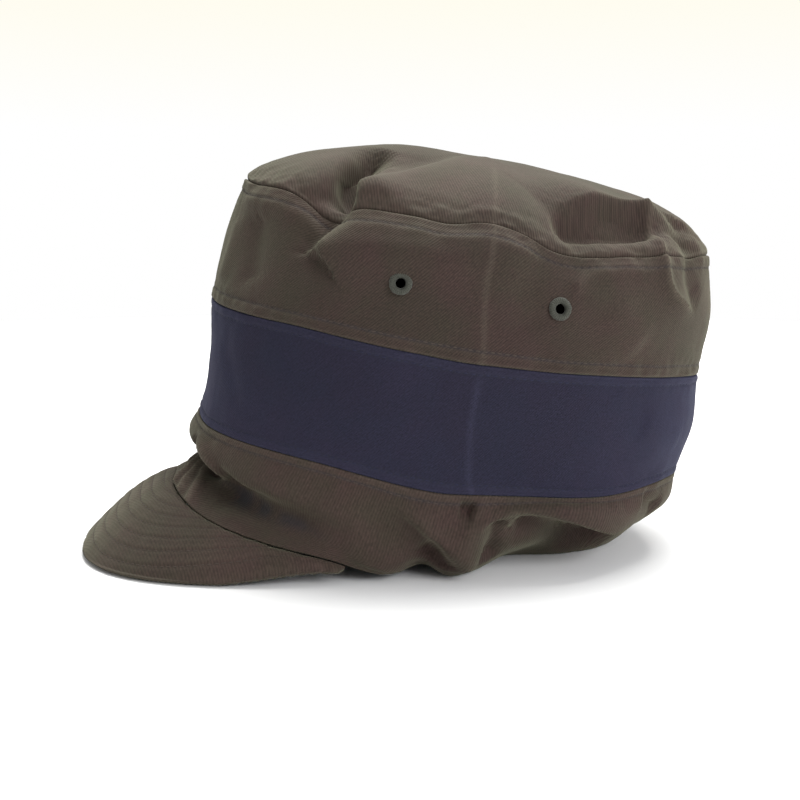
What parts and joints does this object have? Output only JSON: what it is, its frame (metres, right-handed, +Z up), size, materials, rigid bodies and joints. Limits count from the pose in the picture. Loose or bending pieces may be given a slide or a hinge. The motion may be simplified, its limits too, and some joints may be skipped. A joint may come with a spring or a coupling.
{
  "type": "soft twill work cap with a short peak",
  "caption": "Soft round work cap with a puffed top, three ring panels, a short quilted peak and embroidered vent eyelets, hollow from below.",
  "frame": {"origin": "middle of the cap's bounding box, on the surface that it lies on", "axes": "-Y towards the peak (the front), +X towards the wearer's left, +Z up off the surface"},
  "size_m": [0.1686, 0.2566, 0.1613],
  "materials": {
    "olive_twill": "matte olive-brown cotton twill, slightly faded on its folds",
    "navy_twill": "matte navy cotton twill",
    "eyelet_thread": "satin grey-green embroidery thread"
  },
  "bodies": {
    "root": {"crown_top": "olive_twill", "upper_panel": "olive_twill", "middle_band": "navy_twill", "lower_panel": "olive_twill", "brim": "olive_twill", "eyelet_left_front": "eyelet_thread", "eyelet_left_rear": "eyelet_thread", "eyelet_right_front": "eyelet_thread", "eyelet_right_rear": "eyelet_thread"}
  },
  "joints": []
}
